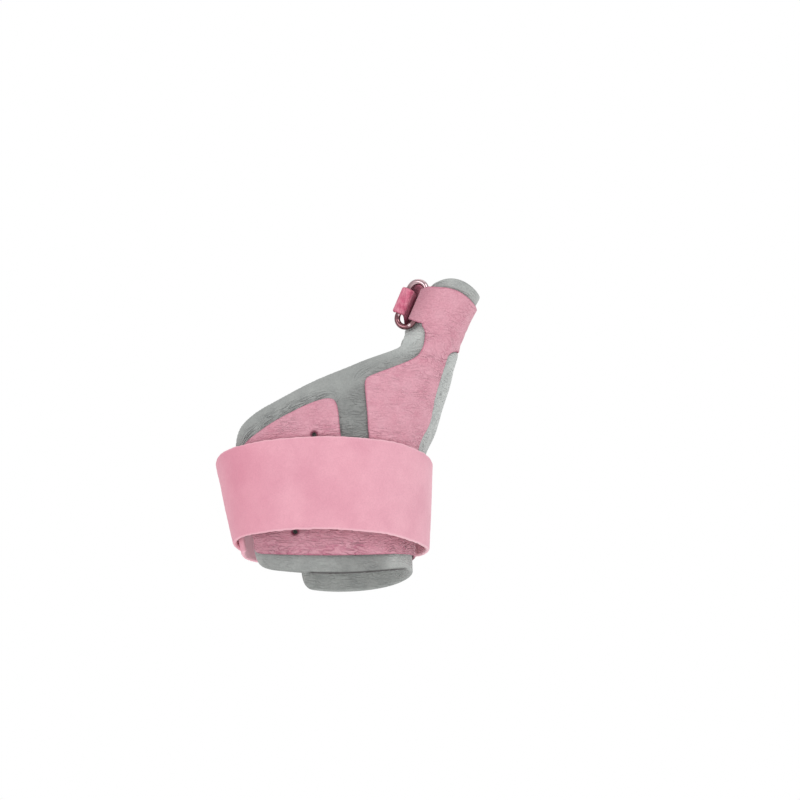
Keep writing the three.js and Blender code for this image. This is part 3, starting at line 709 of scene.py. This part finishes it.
# Painted reflections: the pale upper end and the white glints are mixed into the wire's colour
bright = add(tree, "ShaderNodeAttribute", attribute_name="bright").outputs["Fac"]
with_painted_reflection = add(tree, "ShaderNodeMix",
               {"Factor": bright, "A": tone.outputs["Color"], "B": linear("#F2DDE1")},
               data_type="RGBA")
draw_marks = add(tree, "ShaderNodeBump",
                 {"Height": handling.outputs["Fac"], "Strength": 0.15, "Distance": 0.05 * MM})
shine = add(tree, "ShaderNodeBsdfPrincipled", {"Base Color": with_painted_reflection.outputs[2], "Metallic": 1.0,
                                               "Roughness": haze.outputs["Result"],
                                               "Normal": draw_marks.outputs["Normal"]})
add(tree, "ShaderNodeOutputMaterial", {"Surface": shine.outputs[0]})

# Painted glints, where a lamp's highlight is painted on the wire: lengths up the ring and across from its
# inner bar
BEND = BARS_APART / 2
PAINTED_GLINTS = [(-2.3 * MM, 6.1 * MM), (-4.5 * MM, 0.7 * MM)]
END_STEPS = 28
SIDE_STEPS = 14
WIRE_SIDES = 20
low = WIRE / 2 - RING_BELOW + BEND
high = WIRE / 2 - RING_BELOW + RING_LENGTH - WIRE - BEND
arc = np.linspace(0, math.pi, END_STEPS)
side = np.linspace(0, 1, SIDE_STEPS)[1:-1]
line = np.concatenate([
    np.stack([low - BEND * np.sin(arc), BEND + BEND * np.cos(arc)], -1),
    np.stack([low + (high - low) * side, 0 * side], -1),
    np.stack([high + BEND * np.sin(arc), BEND - BEND * np.cos(arc)], -1),
    np.stack([high + (low - high) * side, 2 * BEND + 0 * side], -1),
])
ahead = np.roll(line, -1, 0) - np.roll(line, 1, 0)
ahead /= np.linalg.norm(ahead, axis=1, keepdims=True)
angle = np.linspace(0, 2 * math.pi, WIRE_SIDES, endpoint=False)
radius = WIRE / 2
wire_up = line[:, :1] + radius * np.cos(angle) * ahead[:, 1:]
wire_across = line[:, 1:] - radius * np.cos(angle) * ahead[:, :1]
wire_out = np.broadcast_to(radius * np.sin(angle), wire_up.shape)
points = at_ring(wire_up, wire_across, wire_out).reshape(-1, 3)
# The ring's upper end is painted pale, as a painted reflection of the white room
painted_top_reflection = 0.4 * np.clip((wire_up - high + 1 * MM) / (2 * MM), 0, 1) * (wire_up > 0)
painted_glint_distances = [np.hypot(wire_up - up, wire_across - across) for up, across in PAINTED_GLINTS]
bright = np.maximum(painted_top_reflection, np.clip(1.5 - np.min(painted_glint_distances, 0) / (0.5 * MM), 0, 1))
wire_ring = piece("wire_ring", points, band_faces(len(line), WIRE_SIDES, True, True), polished_wire,
                  bright=bright.ravel())
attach(wire_ring, "root")
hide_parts("thumb_ring")

# Panel's fold
# The panel's cloth carries on past the liner's edge at the web of the thumb, passes round the ring's inner
# bar and turns back under itself, so that the bar is held in a sewn channel.
FOLD_WIDTH = 14.2 * MM
FOLD_TAPER = 1.6 * MM
FOLD_FROM = -2.6 * MM


def through(points, count):
    """Evenly spaced points along a smooth curve through the given ones."""
    points = np.asarray(points)
    padded = np.concatenate([2 * points[:1] - points[1:2], points, 2 * points[-1:] - points[-2:-1]])
    knots = np.concatenate([[0], np.cumsum(np.sqrt(np.linalg.norm(np.diff(padded, axis=0), axis=1)))])
    curve = []
    for i in range(1, len(padded) - 2):
        t0, t1, t2, t3 = knots[i - 1 : i + 3]
        p0, p1, p2, p3 = padded[i - 1 : i + 3]
        for t in np.linspace(t1, t2, 12, endpoint=i == len(padded) - 3):
            a1 = (t1 - t) / (t1 - t0) * p0 + (t - t0) / (t1 - t0) * p1
            a2 = (t2 - t) / (t2 - t1) * p1 + (t - t1) / (t2 - t1) * p2
            a3 = (t3 - t) / (t3 - t2) * p2 + (t - t2) / (t3 - t2) * p3
            b1 = (t2 - t) / (t2 - t0) * a1 + (t - t0) / (t2 - t0) * a2
            b2 = (t3 - t) / (t3 - t1) * a2 + (t - t1) / (t3 - t1) * a3
            curve.append((t2 - t) / (t2 - t1) * b1 + (t - t1) / (t2 - t1) * b2)
    curve = np.array(curve)
    travelled = np.concatenate([[0], np.cumsum(np.linalg.norm(np.diff(curve, axis=0), axis=1))])
    even = np.linspace(0, travelled[-1], count)
    return np.stack([np.interp(even, travelled, curve[:, k]) for k in range(3)], -1)


def across_stations(width, wall, step):
    """Stations across a band, set closely at its two edges, where the cloth is rounded."""
    close = np.array([0, 0.08, 0.2, 0.4, 0.65]) * wall
    inner_stations = np.linspace(wall, width - wall, max(2, round((width - 2 * wall) / step)))
    return np.concatenate([close, inner_stations, width - close[::-1]])


def band(middle, width, wall, stations, lift=0, blunt=(True, True)):
    """A closed, round-edged band of cloth about a grid of middle points, stations across by steps along."""
    onward = np.gradient(middle, axis=1)
    upward = np.gradient(middle, axis=0)
    normal = unit(np.cross(onward, upward))
    from_edge = np.minimum(stations, width - stations)[:, None]
    lengths = np.linalg.norm(np.diff(middle, axis=1), axis=-1)
    travelled = np.concatenate([np.zeros((len(middle), 1)), np.cumsum(lengths, axis=1)], axis=1)
    ends = [travelled if blunt[0] else np.inf, travelled[:, -1:] - travelled if blunt[1] else np.inf]
    distance = np.minimum(np.minimum(from_edge, ends[0]), ends[1]) + 0 * travelled
    distance[:, [0, -1]] = 0
    half = edge_round(distance, wall) * wall / 2
    outer = (middle + normal * (half + lift)[..., None]).reshape(-1, 3)
    inner = (middle - normal * half[..., None]).reshape(-1, 3)
    rows, columns = middle.shape[:2]
    points, closed, own = two_faced(outer, inner, distance.ravel() <= 0, band_faces(rows, columns))
    lengths = np.stack([travelled, stations[:, None] + 0 * travelled, 0 * travelled], -1).reshape(-1, 3)
    edge = distance.ravel()
    return points, closed, {"edge": np.concatenate([edge, edge[own]]),
                            "lengths": np.concatenate([lengths, lengths[own]])}


stations = across_stations(FOLD_WIDTH, PANEL_WALL, 0.5 * MM)
lines = []
eye = EYE - PANEL_WALL / 2
for share in stations / FOLD_WIDTH:
    up = FOLD_FROM + share * FOLD_WIDTH
    row = RING_FOOT[1] + rows_per_length * up
    tail = [over(t, row, h * MM) for t, h in ((-96, 1.75), (-101, 1.9), (-106, 2.1), (-111, 2.3))]
    angle = np.radians(np.array([-40, -12, 16, 44, 72, 100, 128, 156, 184, 212]))
    narrowed = up - share * FOLD_TAPER * np.clip((angle + 0.7) / 1.1, 0, 1)
    angle = angle + RING_SWING
    lines.append(through([*tail, *at_ring(narrowed, eye * np.sin(angle), eye * np.cos(angle))], 60))
points, closed, values = band(np.array(lines), FOLD_WIDTH, PANEL_WALL, stations)
# Painted shade: the fold is painted dark where it turns into the gap behind the ring, and a little darker
# where it rounds away from the panel
from_foot = points - ring_foot
eye_angle = np.degrees(np.arctan2(from_foot @ ring_across, from_foot @ ring_out)) - math.degrees(RING_SWING)
round_eye = (eye_angle + 140) % 360 - 140
in_gap = np.clip((round_eye - 30) / 70, 0, 1)
rounding_shade = np.clip(values["lengths"][:, 0] / (5 * MM) - 0.7, 0, 1)
values["shade"] = np.maximum(0.85 * in_gap**1.5, 0.3 * rounding_shade**1.3)
values["crimp"] = 0.3 + 0 * in_gap
panel_fold = piece("panel_fold", points, closed, rose_pile, **values)
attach(panel_fold, "root")
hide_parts("ring_fold")

# Thumb strap
# The thumb strap is a narrow strip of deep pink loop cloth. It comes up from the palm side of the thumb,
# goes through the ring, rolls tightly round the outer bar and is pressed back down on its own lower ply.
# Its loops take the light unevenly, so it is mottled, with fine ribs across.
THUMB_STRAP_WIDTH = 10.2 * MM
THUMB_STRAP_FROM = -2.0 * MM
THUMB_STRAP_WALL = 1.2 * MM
ROLL = WIRE / 2 + GAP + THUMB_STRAP_WALL / 2
ROWS_AT_THUMB = (8.5, 9.78)
THUMB_STRAP_STEPS = 170
UNDER_PLY = PANEL_TOP + 1.5 * GAP + THUMB_STRAP_WALL / 2
TOP_PLY = UNDER_PLY + THUMB_STRAP_WALL + GAP

deep_pink_loop = cloth_material(
    "deep pink loop strip",
    colours={"dark": "#CB6581", "light": "#E495A8", "deep": "#54182B", "patch": 2.5 * MM},
    speckle={"size": 0.6 * MM, "depth": 0.12},
    pile={"size": 0.35 * MM, "height": 0.15 * MM, "strength": 0.6},
    # Folds: crimp bumps, with a colour painted as the shade in their creases
    folds={"size": 1.5 * MM, "stretch": (1, 0.22, 1), "bend": 0.3, "width": 0.09, "tone": 0.5,
           "colour": "#A84563", "height": 0.4 * MM, "strength": 0.7},
    edge={"from": 0.0, "to": 0.6 * MM, "share": 0.6, "colour": "#B8506B"},
    sheen={"weight": 0.3, "roughness": 0.4, "tint": "#FFDCE4"},
)

stations = across_stations(THUMB_STRAP_WIDTH, THUMB_STRAP_WALL, 0.45 * MM)
lines = []
for share in stations / THUMB_STRAP_WIDTH:
    row = ROWS_AT_THUMB[0] + (ROWS_AT_THUMB[1] - ROWS_AT_THUMB[0]) * share
    under = [over(t, row, UNDER_PLY) for t in np.arange(78, 170 - 6 * share + 0.01, 12.5)]
    angle = np.radians(np.linspace(232, 440, 8)) + RING_SWING
    up = THUMB_STRAP_FROM + share * THUMB_STRAP_WIDTH
    before = at_ring(up - (3.8 - 2.4 * share) * MM, 3.4 * MM, -3.1 * MM)
    roll = at_ring(up, BARS_APART + ROLL * np.sin(angle), ROLL * np.cos(angle))
    after = at_ring(up + 3.6 * MM, 7 * MM, -5.4 * MM)
    top = []
    for t in np.arange(145 - 9 * share, 48 - 0.01, -12.5):
        on_under = np.clip((t - 62) / 14, 0, 1)
        top.append(over(t, row, UNDER_PLY + (TOP_PLY - UNDER_PLY) * on_under**2 * (3 - 2 * on_under)))
    lines.append(through([*under, before, *roll, after, *top], THUMB_STRAP_STEPS))
middle = np.array(lines)
travel = np.broadcast_to(np.arange(THUMB_STRAP_STEPS) * 0.4 * MM, middle.shape[:2])
flat = np.stack([travel, np.broadcast_to(stations[:, None], travel.shape), 0 * travel], -1).reshape(-1, 3)
ribs = grain(flat, (9 * MM, 1.3 * MM, MM), 4).reshape(middle.shape[:2])
from_edge = np.minimum(stations, THUMB_STRAP_WIDTH - stations)[:, None]
lift = 0.14 * MM * ribs * np.clip(from_edge / (1.2 * MM), 0, 1)
points, closed, values = band(middle, THUMB_STRAP_WIDTH, THUMB_STRAP_WALL, stations, lift)
# Painted shade: the strap is painted dark where it lies behind the ring's plane, near the ring
from_foot = points - ring_foot
behind = np.clip((0.6 * MM - from_foot @ ring_out) / (2 * MM), 0, 1)
from_ring = np.linalg.norm(points - at_ring(3 * MM, BEND, -1 * MM), axis=1)
values["shade"] = 0.92 * behind * np.clip((11 * MM - from_ring) / (4 * MM), 0, 1)
values["crimp"] = 0.8 + 0 * behind
narrow_strap = piece("narrow_strap", points, closed, deep_pink_loop, **values)
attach(narrow_strap, "root")
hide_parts("thumb_strap")

# Wrist strap
# The wrist strap is a wide band of soft pink loop cloth on thin foam, cut with a blade, so its edges are a
# little ragged and paler. The pale edge colour is partly the cut pile's own and partly a painted highlight
# where the edge catches the light. The strap starts at the liner's edge, goes under the palm and over the
# back of the hand, and closes on its own first pass, which lies a little lower.
STRAP_WALL = 1.6 * MM
STRAP_FLARE = 3.3 * MM
STRAP_SLACK = 0.3 * MM
STRAP_START_DROP = 3.8 * MM
STRAP_CORNER = 5 * MM
STRAP_TURNS = {"end": -598, "lifts": -226, "rests": -243, "drops": -215, "level": -300}
STRAP_START_TURN = -160
LINER_EDGE = [(0, -162), (0.5, -164), (1.5, -160), (2.5, -152), (3.04, -147.5), (3.5, -143)]

pink_loop = cloth_material(
    "pale pink loop pile on foam",
    colours={"dark": "#E0A2B2", "light": "#EBB0BE", "deep": "#C9607E", "patch": 12 * MM},
    speckle={"size": 0.5 * MM, "depth": 0.05},
    pile={"size": 0.5 * MM, "height": 0.2 * MM, "strength": 0.55},
    # Folds: crimp bumps, with a colour painted as the shade in their creases
    folds={"size": 2.2 * MM, "stretch": (1, 0.7, 1), "bend": 0.5, "width": 0.06, "tone": 0.12,
           "colour": "#C98497", "height": 0.2 * MM, "strength": 0.3},
    edge={"from": 0.1 * MM, "to": 0.8 * MM, "share": 0.7, "colour": "#F9CFD8"},
    sheen={"weight": 0.4, "roughness": 0.45, "tint": "#FFE6EC"},
)

strap_bottom = STRAP_RISE - STRAP_WIDTH / 2
low_rows = np.linspace(0, 6, 6001)
low_heights = hand["z"](low_rows)
loop_heights = (strap_bottom, strap_bottom + STRAP_WIDTH, STRAP_RISE)
loop_rows = [float(np.interp(z, low_heights, low_rows)) for z in loop_heights]
loops = []
for row, flare in zip(loop_rows[:2], (STRAP_FLARE, 0)):
    grown = {name: float(hand[name](row)) + flare for name in ("half", "front", "back")}
    loops.append({**grown, "x": float(hand["x"](row)), "square": float(hand["square"](row))})
start_gap = math.degrees(2 * GAP / (WRIST[0] / 2))
girth_shares = {"half": 1, "front": 0.5, "back": 0.5}
girth = sum(float(hand[name](loop_rows[2])) * share for name, share in girth_shares.items())
strap_length = (STRAP_START_TURN - STRAP_TURNS["end"]) / 360 * math.pi * (girth + 2 * PANEL_TOP)
liner_edge = smooth_curve(*zip(*LINER_EDGE))


def ease(value, low, high):
    share = np.clip((value - low) / (high - low), 0, 1)
    return share * share * (3 - 2 * share)


STRAP_STEPS = 420
stations = across_stations(STRAP_WIDTH, STRAP_WALL, 0.75 * MM)
share = np.linspace(0, 1, STRAP_STEPS)[None, :]
across = (stations / STRAP_WIDTH)[:, None]
corner = np.clip(1 - share * strap_length / STRAP_CORNER, 0, 1)
cut = STRAP_CORNER * (1 - np.sqrt(1 - corner**2))
up = cut + (STRAP_WIDTH - 2 * cut) * across
start_row = np.interp(strap_bottom - STRAP_START_DROP + up, low_heights, low_rows)
start = liner_edge(start_row) - start_gap
turn = STRAP_TURNS["end"] + (start - STRAP_TURNS["end"]) * share
lifted = ease(-turn, -STRAP_TURNS["lifts"], -STRAP_TURNS["rests"])
level = ease(-turn, -STRAP_TURNS["drops"], -STRAP_TURNS["level"])
off = GAP + (PANEL_TOP + STRAP_SLACK - GAP) * lifted + STRAP_WALL / 2
height = up / STRAP_WIDTH - STRAP_START_DROP * (1 - level) / STRAP_WIDTH
at = {name: loops[0][name] + (loops[1][name] - loops[0][name]) * height for name in loops[0]}
round_across, round_deep = round_section(turn, at["square"])
half_turn = (turn + 180) % 360 - 180
top_dip, bottom_dip = (curve(half_turn) * STRAP_DIP for curve in strap_edge_curves)
middle = np.stack([
    at["x"] + (at["half"] + off) * round_across,
    (np.where(round_deep > 0, at["back"], at["front"]) + off) * round_deep,
    strap_bottom + height * STRAP_WIDTH + bottom_dip + (top_dip - bottom_dip) * across,
], -1)
travel = np.broadcast_to(share * strap_length, middle.shape[:2])
flat = np.stack([travel, np.broadcast_to(stations[:, None], travel.shape), 0 * travel], -1).reshape(-1, 3)
from_edge = np.minimum(stations, STRAP_WIDTH - stations)[:, None]
which_edge = np.where(np.broadcast_to(across, travel.shape) > 0.5, 0.05, 0)
edge_line = np.stack([travel, which_edge, 0 * travel], -1).reshape(-1, 3)
ragged = grain(edge_line, (1.6 * MM, MM, MM), 6).reshape(travel.shape)
wavy = grain(edge_line, (14 * MM, MM, MM), 9).reshape(travel.shape)
shift = (0.12 * MM * ragged + 0.2 * MM * wavy) * np.exp(-from_edge / (3 * MM)) * np.sign(0.5 - across)
middle[..., 2] += shift
swell = 0.08 * MM * grain(flat, (13 * MM, 9 * MM, MM), 12).reshape(travel.shape)
nap = 0.035 * MM * grain(flat, 1.5 * MM, 13).reshape(travel.shape)
lift = (swell + nap) * np.clip(from_edge / (1.5 * MM), 0, 1)
points, closed, values = band(middle, STRAP_WIDTH, STRAP_WALL, stations, lift)
values["crimp"] = np.full(len(points), 0.5)

# The foam side, whose points come after the outer face's, is given the pale edge colour as painted light,
# which lifts it where it lies in shade
outer_count = middle.shape[0] * middle.shape[1]
values["edge"][outer_count:] = 0

# Painted shade: the cloth is painted darker towards the web and lighter towards the thumb side
web_side = ease(-points[:, 0], 14 * MM, 36 * MM)
thumb_side = ease(points[:, 0], 5 * MM, 28 * MM)
values["shade"] = 0.12 + 0.21 * web_side - 0.12 * thumb_side
wide_strap = piece("wide_strap", points, closed, pink_loop, **values)
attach(wide_strap, "root")
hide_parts("wrist_strap")
